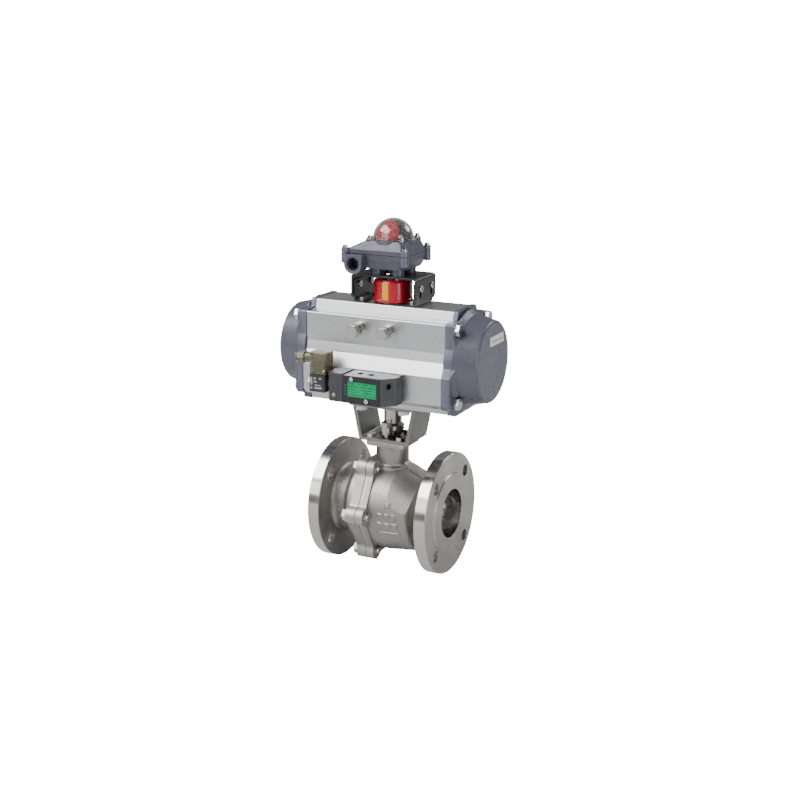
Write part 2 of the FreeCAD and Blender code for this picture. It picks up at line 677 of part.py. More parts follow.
# ---- pilot valve ------------------------------------------------------------------------------
def pilot_body():
    block_outline = [
        (-26, PILOT_BACK_Y, 1), (-26, PILOT_FACE_Y, 0.5), (35.5, PILOT_FACE_Y, 1.5), (54, -96.5, 1.5),
        (54, PILOT_BACK_Y, 1),
    ]
    body = extruded(block_outline, "z", PILOT_Z0, PILOT_Z1)
    end_port = Part.makeCylinder(4.3, 20, V(38.7, -99.7, 219), V(1, -1, 0))
    tools = [end_port, rod("x", 7.05, -60, 44, SPOOL_Y, SPOOL_Z)]
    tools += [rod("z", 4.9, 219, 240, x, -96) for x in (-6, 12)]
    tools += [rod("z", 3.2, 214, 240, x, -96) for x in (-6, 12)]
    tools += [rod("y", 4.0, -90, -70, x, 210) for x in (-12, 12)]
    tools += [rod("y", 2.05, -120, -100, x, z) for x, z in ((-11, 226), (13.7, 195))]
    return cut(body, tools)


def pilot_end_cover():
    cover = extruded([
        (-52, -80, 4), (-52, -111, 4), (-47, PILOT_FACE_Y, 2), (-26.3, PILOT_FACE_Y, 0.5), (-26.3, -78, 1),
    ], "z", PILOT_Z0, PILOT_Z1 + 1.5)
    tools = [extruded([(-63, 224), (-45, 240), (-63, 240)], "y", -130, -60)]
    tools.append(extruded([(-63, 200), (-63, 180), (-47, 180)], "y", -130, -60))
    tools.append(rod("x", 7.05, -40, -20, SPOOL_Y, SPOOL_Z))
    tools.append(rod("x", 4.1, -63, -30, COIL_Y, COIL_Z))
    tools.append(rod("y", 3.05, -120, -106.5, -41, 199))
    return cut(cover, tools)


def pilot():
    gasket = extruded(rectangle(27, 19, 3, 4, 210), "y", -75.9, PILOT_BACK_Y)
    gasket = cut(gasket, [rod("y", 4, -80, -70, x, 210) for x in (-12, 12)])
    seat = extruded(rectangle(13, 12, 2.5, -71, -97), "z", 224, 225.2)
    add("pilot_gaskets", group([gasket, seat.cut(rod("z", 1.7, 222, 262, CONNECTOR_SCREW_X, -97))]))
    add("pilot_body", pilot_body())
    add("pilot_end_cover", pilot_end_cover())
    plate = extruded(rectangle(29.5, 19.6, 1, 5, 209.6), "y", PILOT_FACE_Y, PILOT_FACE_Y - 1.0)
    plate = cut(plate, [rod("y", 2.1, -120, -100, x, z) for x, z in ((-11, 226), (13.7, 195))])
    add("pilot_label_plate", plate)
    add("pilot_label", block(-17, 30, PILOT_FACE_Y - 1.3, PILOT_FACE_Y - 1.0, 200, 222))
    add("pilot_screws", group([
        pan_screw("y", PILOT_FACE_Y - 1.0, -1, x, z, 4, 12, 3.6, 2.2) for x, z in ((-11, 226), (13.7, 195))
    ]))
    coil = extruded(rectangle(13.5, 14, 2, -71.5, COIL_Y), "z", 199, 224)
    coil = coil.cut(rod("x", 5.05, -100, -40, COIL_Y, COIL_Z))
    add("pilot_coil", coil)
    tube = join([rod("x", 5, -90, -52.2, COIL_Y, COIL_Z), rod("x", 4, -52.2, -42, COIL_Y, COIL_Z)])
    tube = cut(tube, [rod("x", 3.05, -86, -40, COIL_Y, COIL_Z)])
    nut = hexagon("x", 14, -85.1, -90.5, COIL_Y, COIL_Z).cut(rod("x", 5.02, -100, -80, COIL_Y, COIL_Z))
    add("pilot_tube", group([tube, nut]))
    shell = extruded(rectangle(14, 13, 3, -71, -97), "z", 225.2, 258)
    room = extruded(rectangle(11.8, 10.8, 2, -71, -97), "z", 228.5, 255.8)
    snout = join([rod("x", 8, -96, -84, -97, 247), rod("x", 6.8, -98, -84, -97, 247)])
    housing = cut(join([shell, snout]), [room, rod("x", 4.2, -110, -80, -97, 247)])
    housing = housing.cut(rod("z", 1.7, 222, 262, CONNECTOR_SCREW_X, -97))
    add("connector_housing", housing)
    insert = extruded(rectangle(8, 8, 1.5, -73, -97), "z", 228.5, 244)
    add("connector_insert", insert)
    add("connector_screw", pan_screw("z", 258, 1, CONNECTOR_SCREW_X, -97, 3.2, 33.5, 2.9, 1.9))
    gland = hexagon("x", 17, -98.2, -108, -97, 247)
    gland = join([gland, rod("x", 7.6, -108, -112, -97, 247), rod("x", 4.1, -98.2, -86, -97, 247)])
    add("cable_gland", gland.cut(rod("x", 3.0, -120, -84, -97, 247)))
    spool = turned([
        (-22, 0), (-22, 7, 0.6), (-15, 7), (-15, 4), (-7, 4), (-7, 7), (3, 7), (3, 4), (11, 4), (11, 7),
        (21, 7), (21, 4), (29, 4), (29, 7, 0.6), (36, 7), (36, 0),
    ], "x", SPOOL_Y, SPOOL_Z)
    add("spool", spool)
    add("armature", rod("x", 3.0, -84.5, -58, COIL_Y, COIL_Z))
    add("override_button", turned([(-108.5, 0), (-108.5, 3), (-115.6, 3, 0.4), (-115.6, 0)], "y", -41, 199))


# ---- position indicator and switch box --------------------------------------------------------
def indicator_cup():
    shell = turned([
        (CUP_Z0, 19.5), (CUP_Z0, CUP_R + 0.8, 1), (CUP_Z0 + 4, CUP_R + 0.8, 0.5), (CUP_Z0 + 5, CUP_R),
        (CUP_Z1 - 4, CUP_R), (CUP_Z1, CUP_R - 2.2, 1), (CUP_Z1, CUP_R - 5), (347, CUP_R - 5, 1),
        (347, 0), (343.1, 0), (343.1, CUP_R - 4), (CUP_Z0 + 2.5, CUP_R - 4), (CUP_Z0 + 2.5, 19.5),
    ], "z")
    driver = rod("z", 9, 346, 357)
    slot = block(-2.05, 2.05, -12, 12, 350, 360)
    ribs = [block(-25.5, 25.5, -1.5, 1.5, 346, 352), block(-1.5, 1.5, -25.5, 25.5, 346, 350)]
    return cut(join([shell, driver] + ribs), [slot, rod("z", 2.7, 340, 350), rod("z", 4.7, 347, 360)])


def switch_bracket():
    corner = BRACKET_SIDE_X
    frame = extruded([
        (-corner, 330), (-corner, SWITCH_PLATE_Z, 5), (corner, SWITCH_PLATE_Z, 5), (corner, 330),
        (corner - 3, 330), (corner - 3, SWITCH_PLATE_Z - 3, 2), (-corner + 3, SWITCH_PLATE_Z - 3, 2),
        (-corner + 3, 330),
    ], "y", -34, 34)
    tools = [rod("z", 14, 360, 370)]
    tools += [rod("z", 2.6, 360, 370, x, y) for x, y in corners_of(LEG_X, LEG_Y)]
    for side in (-1, 1):
        for y in (-19, 19):
            slot = [(y - 3.2, 336, 3.1), (y + 3.2, 336, 3.1), (y + 3.2, 355, 3.1), (y - 3.2, 355, 3.1)]
            start, end = sorted((side * 50, side * 56))
            tools.append(extruded(slot, "x", start, end))
    for side in (-1, 1):
        start, end = sorted((side * 50, side * 56))
        for y in (-1, 1):
            low = [(y * 35, 329), (y * 35, 336), (y * 30, 330), (y * 30, 329)]
            tools.append(extruded(low, "x", start, end))
    return cut(frame, tools)


def bracket_feet():
    shapes = []
    for side in (-1, 1):
        corners = [
            (side * FOOT_SIDE_X, BODY_TOP_Z, 2.5), (side * 34.5, BODY_TOP_Z), (side * 34.5, BODY_TOP_Z + 3),
            (side * (FOOT_SIDE_X - 3), BODY_TOP_Z + 3, 1), (side * (FOOT_SIDE_X - 3), 358),
            (side * FOOT_SIDE_X, 358),
        ]
        foot = extruded(corners, "y", -31, 31)
        holes = [rod("z", 2.75, 320, 330, side * FOOT_BOLT_X, y) for y in (-FOOT_BOLT_Y, FOOT_BOLT_Y)]
        start, end = sorted((side * 46, side * 53))
        holes += [rod("x", 2.6, start, end, y, 350) for y in (-19, 19)]
        shapes.append(cut(foot, holes))
    return group(shapes)


def box_outline(grow, radius):
    return rectangle(BOX_HALF_X + grow, BOX_HALF_Y + grow, radius, BOX_CENTRE_X, 0)


def box_ears(start, end, radius):
    spots = corners_of(BOX_HALF_X - 0.5, BOX_HALF_Y - 0.5, BOX_CENTRE_X, 0)
    return [rod("z", radius, start, end, x, y) for x, y in spots]


def loft(low, low_z, high, high_z):
    wires = [outline(low, lambda u, v: V(u, v, low_z)), outline(high, lambda u, v: V(u, v, high_z))]
    return Part.makeLoft(wires, True, True)


def switch_box_body():
    low = rectangle(BOX_HALF_X - 5, BOX_HALF_Y - 5, 9, BOX_CENTRE_X, 0)
    shell = join([
        loft(low, BOX_FLOOR_Z, box_outline(0, 7), BOX_RIM_Z - 8),
        extruded(box_outline(0, 7), "z", BOX_RIM_Z - 8, BOX_RIM_Z),
    ] + box_ears(BOX_RIM_Z - 14, BOX_RIM_Z, 6.0) + [
        rod("z", 9, SWITCH_PLATE_Z, BOX_FLOOR_Z + 1, x, y) for x, y in corners_of(LEG_X, LEG_Y)
    ] + [rod("z", 13, SWITCH_PLATE_Z + 2, BOX_FLOOR_Z + 1)])
    boss = join([
        rod("y", 15, -52, -30, -42, 384.5),
        block(-57, -27, -52, -36, 384.5, BOX_RIM_Z),
    ]).common(block(-60, -20, -60, -20, 360, BOX_RIM_Z))
    shell = join([shell, boss])
    room = extruded(rectangle(BOX_HALF_X - 8, BOX_HALF_Y - 8, 5, BOX_CENTRE_X, 0), "z", BOX_FLOOR_Z + 4, BOX_RIM_Z + 1)
    room = cut(room, [rod("z", 5.5, 370, BOX_RIM_Z + 2, x, y) for x, y in corners_of(BOX_HALF_X - 8, BOX_HALF_Y - 8, BOX_CENTRE_X, 0)])
    tools = [room, rod("y", 9.7, -60, -32, -42, 384.5), rod("z", 6 + RUNNING, 360, 390)]
    tools += [rod("z", 2.1, 360, 378, x, y) for x, y in corners_of(LEG_X, LEG_Y)]
    tools += box_ears(BOX_RIM_Z - 7, BOX_RIM_Z + 1, 2.1)
    return cut(shell, tools)


def switch_box_cover():
    base = BOX_RIM_Z + 1
    lid = join([
        extruded(box_outline(0.4, 7), "z", base, base + 6),
        loft(box_outline(-1.5, 8), base + 6, rectangle(31.5, 31.5, 8), DOME_Z - 1.5),
        rod("z", DOME_R + 3.5, DOME_Z - 6, DOME_Z - 0.5),
    ] + box_ears(base, base + 7.5, 6.0) + [
        rod("z", 6, DOME_Z - 12, DOME_Z - 0.5, x, y) for x, y in corners_of(LUG, LUG)
    ])
    room = loft(
        rectangle(BOX_HALF_X - 8, BOX_HALF_Y - 8, 5, BOX_CENTRE_X, 0), base - 0.5,
        rectangle(24, 24, 8), DOME_Z - 6,
    )
    lug_holes = [rod("z", 2.05, DOME_Z - 5, DOME_Z, x, y) for x, y in corners_of(LUG, LUG)]
    return cut(lid, [room, rod("z", DOME_R - 3, 400, 430)] + box_ears(base - 1, base + 9, 2.6) + lug_holes)


def dome():
    low = DOME_Z - 0.4
    top = low + 2.0
    lugs = [rod("z", 5.5, low, top, x, y) for x, y in corners_of(LUG, LUG)]
    holes = [rod("z", 2.3, low - 1, top + 1, x, y) for x, y in corners_of(LUG, LUG)]
    flange = turned([(low, 0), (low, DOME_R + 3), (top, DOME_R + 3, 0.5), (top, 0)], "z")
    centre = V(0, 0, DOME_Z - 0.5)
    shell = Part.makeSphere(DOME_R, centre).common(block(-50, 50, -50, 50, low, 470))
    hollow = Part.makeSphere(DOME_R - DOME_WALL, centre).common(block(-50, 50, -50, 50, low - 1, 470))
    hollow_low = rod("z", DOME_R - DOME_WALL, low - 2, low + 0.05)
    return cut(join([flange, shell] + lugs), [hollow, hollow_low] + holes)


def beacon(first):
    """Two opposite quarters of the domed rotor under the clear dome."""
    body = Part.makeSphere(ROTOR_R, V(0, 0, DOME_Z - 0.5)).common(block(-50, 50, -50, 50, DOME_Z, 470))
    body = join([body, rod("z", ROTOR_R - 1.4, DOME_Z - 4, DOME_Z)])
    body = body.cut(rod("z", 5.0, 400, DOME_Z + 16)).cut(rod("z", 6.1, 400, DOME_Z - 1))
    quarters = []
    for turn in (0, 180):
        wedge = extruded([(0.01, 0), (60, 59.98), (60, -59.98)], "z", 400, 470)
        wedge.rotate(V(0, 0, 0), V(0, 0, 1), first + turn)
        quarters.append(body.common(wedge))
    return group(quarters)


def switch_box():
    add("indicator_cup", indicator_cup())
    band = ring("z", CUP_R + 0.35, CUP_R, 331, 356).common(block(-4.5, 5.5, -60, 0, 320, 360))
    add("indicator_stripe", band)
    add("switch_bracket", switch_bracket())
    add("switch_bracket_feet", bracket_feet())
    screws = [
        pan_screw("x", side * BRACKET_SIDE_X, side, y, 350, 5, 8, 5.2, 3.2) for side in (-1, 1) for y in (-19, 19)
    ]
    nuts = [
        ring("x", 4.6, 2.55, side * (FOOT_SIDE_X - 6.6), side * (FOOT_SIDE_X - 3), y, 350)
        for side in (-1, 1) for y in (-19, 19)
    ]
    feet = [
        hex_bolt("z", BODY_TOP_Z + 3, 1, side * FOOT_BOLT_X, y, 5, 12, 8, 3.6)
        for side in (-1, 1) for y in (-FOOT_BOLT_Y, FOOT_BOLT_Y)
    ]
    under = [
        hex_bolt("z", SWITCH_PLATE_Z - 3, -1, x, y, 4, 12, 7, 2.8) for x, y in corners_of(LEG_X, LEG_Y)
    ]
    add("switch_bracket_screws", group(screws + nuts + feet + under))
    add("switch_box_body", switch_box_body())
    add("switch_box_gasket", extruded(box_outline(-1, 6), "z", BOX_RIM_Z, BOX_RIM_Z + 1).cut(
        extruded(rectangle(BOX_HALF_X - 8, BOX_HALF_Y - 8, 5, BOX_CENTRE_X, 0), "z", BOX_RIM_Z - 1, BOX_RIM_Z + 2)
    ))
    add("switch_box_cover", switch_box_cover())
    spots = corners_of(BOX_HALF_X - 0.5, BOX_HALF_Y - 0.5, BOX_CENTRE_X, 0)
    add("switch_box_screws", group([
        socket_screw("z", BOX_RIM_Z + 8.5, 1, x, y, 4, 14, 3.9, 4) for x, y in spots
    ] + [
        socket_screw("z", DOME_Z + 1.6, 1, x, y, 4, 6, 3.5, 4) for x, y in corners_of(LUG, LUG)
    ]))
    shaft = join([rod("z", 6, 358.2, DOME_Z - 1.3), rod("z", 4.9, DOME_Z - 1.3, DOME_Z + 15.5)])
    tongue = block(-2, 2, -5.5, 5.5, 350.3, 359)
    add("switch_shaft", join([shaft, tongue]))
    cams = []
    for z, turn in ((384, 30), (391, 120)):
        disc = ring("z", 12, 6, z, z + 5)
        lobe = block(0, 15, -5, 5, z, z + 5).cut(rod("z", 10, z - 1, z + 6))
        lobe.rotate(V(0, 0, 0), V(0, 0, 1), turn)
        cams.append(join([disc, lobe.common(rod("z", 14.5, z, z + 5))]))
    add("switch_cams", group(cams))
    switches = []
    for z in (383.5, 390.5):
        case = block(-40, -20, 8, 18, z, z + 6)
        lever = block(-38, -18.2, 6.6, 7.2, z + 1, z + 5)
        post = block(-38, -36, 7.2, 8, z + 1, z + 5)
        switches.append(join([case, lever, post]))
    strip = join([block(-52, -22, -24, -10, BOX_FLOOR_Z + 4, BOX_FLOOR_Z + 13)] + [
        block(-51 + 6 * k, -47 + 6 * k, -22, -12, BOX_FLOOR_Z + 12, BOX_FLOOR_Z + 16) for k in range(5)
    ])
    add("microswitches_and_terminals", group(switches + [strip]))
    add("beacon_red", beacon(90))
    add("beacon_black", beacon(0))
    add("beacon_dome", dome())


# ---- output -----------------------------------------------------------------------------------
valve()
actuator()
pilot()
switch_box()
os.makedirs("parts", exist_ok=True)
for name, shape in NODES.items():
    shape.exportStep("parts/%s.step" % name)
    solids = shape.Solids
    print("%-24s solids %2d  valid %s  volume %.0f" % (name, len(solids), shape.isValid(), shape.Volume))
print(len(NODES), "nodes")
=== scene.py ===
import math

import bmesh
import bpy
from mathutils import Matrix, Vector
from mathutils.bvhtree import BVHTree


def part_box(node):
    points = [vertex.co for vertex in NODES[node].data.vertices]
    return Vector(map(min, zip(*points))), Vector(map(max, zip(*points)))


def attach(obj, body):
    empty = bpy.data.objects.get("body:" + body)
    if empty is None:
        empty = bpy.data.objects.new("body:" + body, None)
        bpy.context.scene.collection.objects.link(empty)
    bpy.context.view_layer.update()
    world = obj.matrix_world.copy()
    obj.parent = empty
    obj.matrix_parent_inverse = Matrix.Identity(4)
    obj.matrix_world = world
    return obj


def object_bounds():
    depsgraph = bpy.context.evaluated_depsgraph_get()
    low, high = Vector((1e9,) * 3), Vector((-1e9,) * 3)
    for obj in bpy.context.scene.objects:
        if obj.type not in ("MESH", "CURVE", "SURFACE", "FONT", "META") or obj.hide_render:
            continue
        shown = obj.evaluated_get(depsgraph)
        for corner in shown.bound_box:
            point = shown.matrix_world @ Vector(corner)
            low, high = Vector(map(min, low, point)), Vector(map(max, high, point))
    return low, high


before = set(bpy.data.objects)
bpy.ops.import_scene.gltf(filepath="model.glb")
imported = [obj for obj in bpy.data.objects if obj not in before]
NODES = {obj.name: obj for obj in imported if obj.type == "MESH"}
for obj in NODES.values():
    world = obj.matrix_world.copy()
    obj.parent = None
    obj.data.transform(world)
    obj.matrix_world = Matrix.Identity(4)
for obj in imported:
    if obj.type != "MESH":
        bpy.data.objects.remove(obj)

# A quarter-turn ball valve with its air actuator, pilot valve and switch box, in a plain studio.
# Metres, in the CAD model's frame: the pipe runs along X and the stem stands along Z.

cad_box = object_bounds()

# ---- places that the looks are hung on --------------------------------------------------------
PIPE_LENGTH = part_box("valve_body")[1].x
STEM_X = PIPE_LENGTH / 2
FLANGE_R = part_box("end_cap")[1].z
CAP_FACE_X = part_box("actuator_cap_right")[1].x
CYLINDER_Z = (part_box("piston_right")[0].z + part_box("piston_right")[1].z) / 2
FLOOR_Z = cad_box[0].z
STOP_BOLT_X = 0.024
STOP_BOLT_Z = 0.291

# ---- camera: direction, distance and lens that match the picture ------------------------------
AZIMUTH = math.radians(26.087)
ELEVATION = math.radians(14.972)
ROLL = math.radians(0.256)
TARGET = Vector((STEM_X + 0.0120, 0.0, 0.17005))
DISTANCE = 2.14027
LENS = 62.53


def make_camera():
    back = Vector((
        math.sin(AZIMUTH) * math.cos(ELEVATION),
        -math.cos(AZIMUTH) * math.cos(ELEVATION),
        math.sin(ELEVATION),
    ))
    level_right = Vector((math.cos(AZIMUTH), math.sin(AZIMUTH), 0))
    level_up = back.cross(level_right)
    right = level_right * math.cos(ROLL) + level_up * math.sin(ROLL)
    up = back.cross(right)
    data = bpy.data.cameras.new("camera")
    data.lens = LENS
    data.sensor_width = 36
    data.clip_start = 0.05
    data.clip_end = 60
    camera = bpy.data.objects.new("camera", data)
    turn = Matrix((right, up, back)).transposed().to_4x4()
    camera.matrix_world = Matrix.Translation(TARGET + back * DISTANCE) @ turn
    bpy.context.scene.collection.objects.link(camera)
    bpy.context.scene.camera = camera


# ---- node graphs ------------------------------------------------------------------------------
class Graph:
    """A material's node tree, with short calls for the nodes used here."""

    def __init__(self, name, color, metallic=0.0, roughness=0.5):
        self.material = bpy.data.materials.new(name)
        self.material.use_nodes = True
        self.tree = self.material.node_tree
        self.shader = self.tree.nodes["Principled BSDF"]
        self.shader.inputs["Base Color"].default_value = (*color, 1)
        self.shader.inputs["Metallic"].default_value = metallic
        self.shader.inputs["Roughness"].default_value = roughness
        self.coords = self.add("ShaderNodeTexCoord").outputs["Object"]

    def add(self, kind, **settings):
        node = self.tree.nodes.new(kind)
        for key, value in settings.items():
            setattr(node, key, value)
        return node

    def feed(self, socket, value):
        if isinstance(value, bpy.types.NodeSocket):
            self.tree.links.new(value, socket)
        elif isinstance(value, tuple) and len(value) == 3 and len(socket.default_value) == 4:
            socket.default_value = (*value, 1)
        else:
            socket.default_value = value

    def math(self, operation, a, b=0.0, clamp=False):
        node = self.add("ShaderNodeMath", operation=operation, use_clamp=clamp)
        self.feed(node.inputs[0], a)
        self.feed(node.inputs[1], b)
        return node.outputs[0]

    def stretch(self, scale, offset=(0, 0, 0)):
        """The object's coordinates, scaled, so that a texture runs long in one direction."""
        node = self.add("ShaderNodeMapping")
        self.feed(node.inputs["Vector"], self.coords)
        node.inputs["Scale"].default_value = scale
        node.inputs["Location"].default_value = offset
        return node.outputs[0]

    def noise(self, scale, detail=3.0, vector=None, rough=0.5):
        node = self.add("ShaderNodeTexNoise")
        self.feed(node.inputs["Vector"], vector or self.coords)
        node.inputs["Scale"].default_value = scale
        node.inputs["Detail"].default_value = detail
        node.inputs["Roughness"].default_value = rough
        return node.outputs["Fac"]

    def grains(self, scale, vector=None):
        node = self.add("ShaderNodeTexVoronoi")
        self.feed(node.inputs["Vector"], vector or self.coords)
        node.inputs["Scale"].default_value = scale
        return node.outputs["Distance"]

    def span(self, value, low, high, to_low=0.0, to_high=1.0, smooth=True):
        node = self.add("ShaderNodeMapRange")
        node.interpolation_type = "SMOOTHSTEP" if smooth else "LINEAR"
        self.feed(node.inputs["Value"], value)
        node.inputs["From Min"].default_value = low
        node.inputs["From Max"].default_value = high
        node.inputs["To Min"].default_value = to_low
        node.inputs["To Max"].default_value = to_high
        return node.outputs[0]

    def blend(self, factor, a, b):
        node = self.add("ShaderNodeMix", data_type="RGBA")
        self.feed(node.inputs[0], factor)
        self.feed(node.inputs[6], a)
        self.feed(node.inputs[7], b)
        return node.outputs[2]

    def mix(self, factor, a, b):
        node = self.add("ShaderNodeMix", data_type="FLOAT")
        self.feed(node.inputs[0], factor)
        self.feed(node.inputs[2], a)
        self.feed(node.inputs[3], b)
        return node.outputs[0]

    def axes(self):
        node = self.add("ShaderNodeSeparateXYZ")
        self.feed(node.inputs[0], self.coords)
        return node.outputs[0], node.outputs[1], node.outputs[2]

    def window(self, value, low, high):
        """1 between two limits."""
        edge = 0.0001
        above = self.span(value, low - edge, low, smooth=False)
        return self.math("MULTIPLY", above, self.span(value, high, high + edge, 1.0, 0.0, smooth=False))

    def bars(self, spots):
        """1 inside each (x from, x to, z from, z to), in millimetres from the stem's line."""
        x, _, z = self.axes()
        total = 0.0
        for x0, x1, z0, z1 in spots:
            across = self.window(x, STEM_X + x0 / 1000, STEM_X + x1 / 1000)
            upright = self.window(z, z0 / 1000, z1 / 1000)
            total = self.math("ADD", total, self.math("MULTIPLY", across, upright))
        return self.math("MINIMUM", total, 1.0)

    def worn_edges(self, low=0.52, high=0.62):
        """Near 1 along outward edges."""
        point = self.add("ShaderNodeNewGeometry").outputs["Pointiness"]
        return self.span(point, low, high)

    def surface(self, height=None, strength=0.3, distance=0.0004, rounding=0.0005):
        """Softly rounded edges, with a relief over them."""
        bevel = self.add("ShaderNodeBevel", samples=4)
        bevel.inputs["Radius"].default_value = rounding
        normal = bevel.outputs[0]
        if height is not None:
            bump = self.add("ShaderNodeBump")
            bump.inputs["Strength"].default_value = strength
            bump.inputs["Distance"].default_value = distance
            self.feed(bump.inputs["Height"], height)
            self.feed(bump.inputs["Normal"], normal)
            normal = bump.outputs[0]
        self.feed(self.shader.inputs["Normal"], normal)

    def color(self, value):
        self.feed(self.shader.inputs["Base Color"], value)

    def roughness(self, value):
        self.feed(self.shader.inputs["Roughness"], value)


def shade(tone, factor):
    return tuple(min(1.0, channel * factor) for channel in tone)


# ---- materials --------------------------------------------------------------------------------
CAST_TONE = (0.43, 0.415, 0.395)
MACHINED_TONE = (0.66, 0.65, 0.62)
SLATE_TONE = (0.110, 0.110, 0.150)
BOX_TONE = (0.085, 0.084, 0.118)
ANODISED_TONE = (0.56, 0.565, 0.58)


def casting():
    """Bead-blasted stainless casting; the flange rims, faces and bore are turned bright."""
    g = Graph("casting", CAST_TONE, 1.0, 0.45)
    x, y, z = g.axes()
    radius = g.math("SQRT", g.math("ADD", g.math("MULTIPLY", y, y), g.math("MULTIPLY", z, z)))
    from_middle = g.math("ABSOLUTE", g.math("SUBTRACT", x, STEM_X))
    rim = g.span(radius, FLANGE_R - 0.0006, FLANGE_R - 0.0004, smooth=False)
    rim = g.math("MULTIPLY", rim, g.span(from_middle, 0.070, 0.071, smooth=False))
    face = g.span(from_middle, PIPE_LENGTH / 2 - 0.0022, PIPE_LENGTH / 2 - 0.0019, smooth=False)
    bore = g.span(radius, 0.0386, 0.0389, 1.0, 0.0, smooth=False)
    turned = g.math("MAXIMUM", g.math("MAXIMUM", rim, face), bore)
    patches = g.noise(38, 4)
    stain = g.span(g.noise(13, 3), 0.42, 0.66)
    cast = g.blend(patches, shade(CAST_TONE, 0.78), shade(CAST_TONE, 1.16))
    cast = g.blend(g.math("MULTIPLY", stain, 0.35), cast, (0.34, 0.315, 0.28))
    cast = g.blend(g.math("MULTIPLY", g.worn_edges(0.53, 0.64), 0.6), cast, shade(CAST_TONE, 1.5))
    rings = g.noise(3.0, 3, g.stretch((900, 6, 6)))
    bright = g.blend(rings, shade(MACHINED_TONE, 0.90), shade(MACHINED_TONE, 1.05))
    g.color(g.blend(turned, cast, bright))
    cast_rough = g.span(patches, 0.3, 0.7, 0.40, 0.54)
    g.roughness(g.mix(turned, cast_rough, g.span(rings, 0.3, 0.7, 0.13, 0.19)))
    blast = g.math("ADD", g.noise(900, 2), g.math("MULTIPLY", g.noise(170, 3), 1.6))
    relief = g.mix(turned, blast, g.math("MULTIPLY", rings, 0.06))
    g.surface(relief, 0.35, 0.00022, 0.0008)
    return g.material


def turned_face():
    """A flange face fresh off the lathe, whose fine rings throw fans of light."""
    g = Graph("turned_face", MACHINED_TONE, 1.0, 0.30)
    g.shader.inputs["Anisotropic"].default_value = 0.85
    _, y, z = g.axes()
    outward = g.add("ShaderNodeCombineXYZ")
    g.feed(outward.inputs[1], y)
    g.feed(outward.inputs[2], z)
    g.feed(g.shader.inputs["Tangent"], outward.outputs[0])
    radius = g.math("SQRT", g.math("ADD", g.math("MULTIPLY", y, y), g.math("MULTIPLY", z, z)))
    line = g.add("ShaderNodeCombineXYZ")
    g.feed(line.inputs[0], radius)
    rings = g.add("ShaderNodeTexNoise")
    g.feed(rings.inputs["Vector"], line.outputs[0])
    rings.inputs["Scale"].default_value = 1100
    rings.inputs["Detail"].default_value = 3
    smudge = g.noise(24, 4)
    base = g.blend(rings.outputs["Fac"], shade(MACHINED_TONE, 0.80), shade(MACHINED_TONE, 1.08))
    g.color(g.blend(g.math("MULTIPLY", g.span(smudge, 0.45, 0.7), 0.3), base, shade(MACHINED_TONE, 0.7)))
    g.roughness(g.span(smudge, 0.3, 0.7, 0.26, 0.36))
    g.surface(rings.outputs["Fac"], 0.12, 0.00004, 0.0006)
    return g.material


def brushed(name, tone, along, roughness=0.32, contrast=0.16, rounding=0.0005):
    """Steel with fine scratches that run along one axis (0, 1 or 2)."""
    g = Graph(name, tone, 1.0, roughness)
    scale = [700.0, 700.0, 700.0]
    scale[along] = 14.0
    scratches = g.noise(1.0, 4, g.stretch(tuple(scale)), 0.6)
    cloud = g.noise(24, 3)
    base = g.blend(scratches, shade(tone, 1 - contrast), shade(tone, 1 + contrast))
    base = g.blend(g.math("MULTIPLY", g.span(cloud, 0.4, 0.7), 0.35), base, shade(tone, 0.72))
    g.color(g.blend(g.math("MULTIPLY", g.worn_edges(), 0.5), base, shade(tone, 1.45)))
    g.roughness(g.span(scratches, 0.25, 0.75, roughness - 0.07, roughness + 0.09))
    g.surface(scratches, 0.18, 0.00006, rounding)
    return g.material


def turned_metal(name, tone, roughness=0.25, rounding=0.0004, height=None):
    """Small turned and zinc-bright fasteners: fine marks, random smudges and paler outward edges."""
    g = Graph(name, tone, 1.0, roughness)
    marks = g.noise(900, 2)
    smudge = g.noise(45, 3)
    base = g.blend(smudge, shade(tone, 0.86), shade(tone, 1.08))
    g.color(g.blend(g.math("MULTIPLY", g.worn_edges(), 0.5), base, shade(tone, 1.3)))
    g.roughness(g.span(marks, 0.3, 0.7, roughness - 0.03, roughness + 0.05))
    if height:
        marks = g.math("ADD", g.math("MULTIPLY", marks, 0.01), height(g))
    g.surface(marks, 0.5 if height else 0.05, 0.0005 if height else 0.00004, rounding)
    return g.material


def stop_bolt_thread(g):
    """A 1.75 mm thread on the parts of the stop bolts that are thinner than their heads and nuts."""
    x, y, z = g.axes()
    across = g.math("SUBTRACT", g.math("ABSOLUTE", g.math("SUBTRACT", x, STEM_X)), STOP_BOLT_X)
    up = g.math("SUBTRACT", z, STOP_BOLT_Z)
    radius = g.math("SQRT", g.math("ADD", g.math("MULTIPLY", across, across), g.math("MULTIPLY", up, up)))
    wave = g.math("SINE", g.math("MULTIPLY", y, 2 * math.pi / 0.00175))
    return g.math("MULTIPLY", g.math("MULTIPLY", wave, 0.5), g.span(radius, 0.0061, 0.0065, 1.0, 0.0))


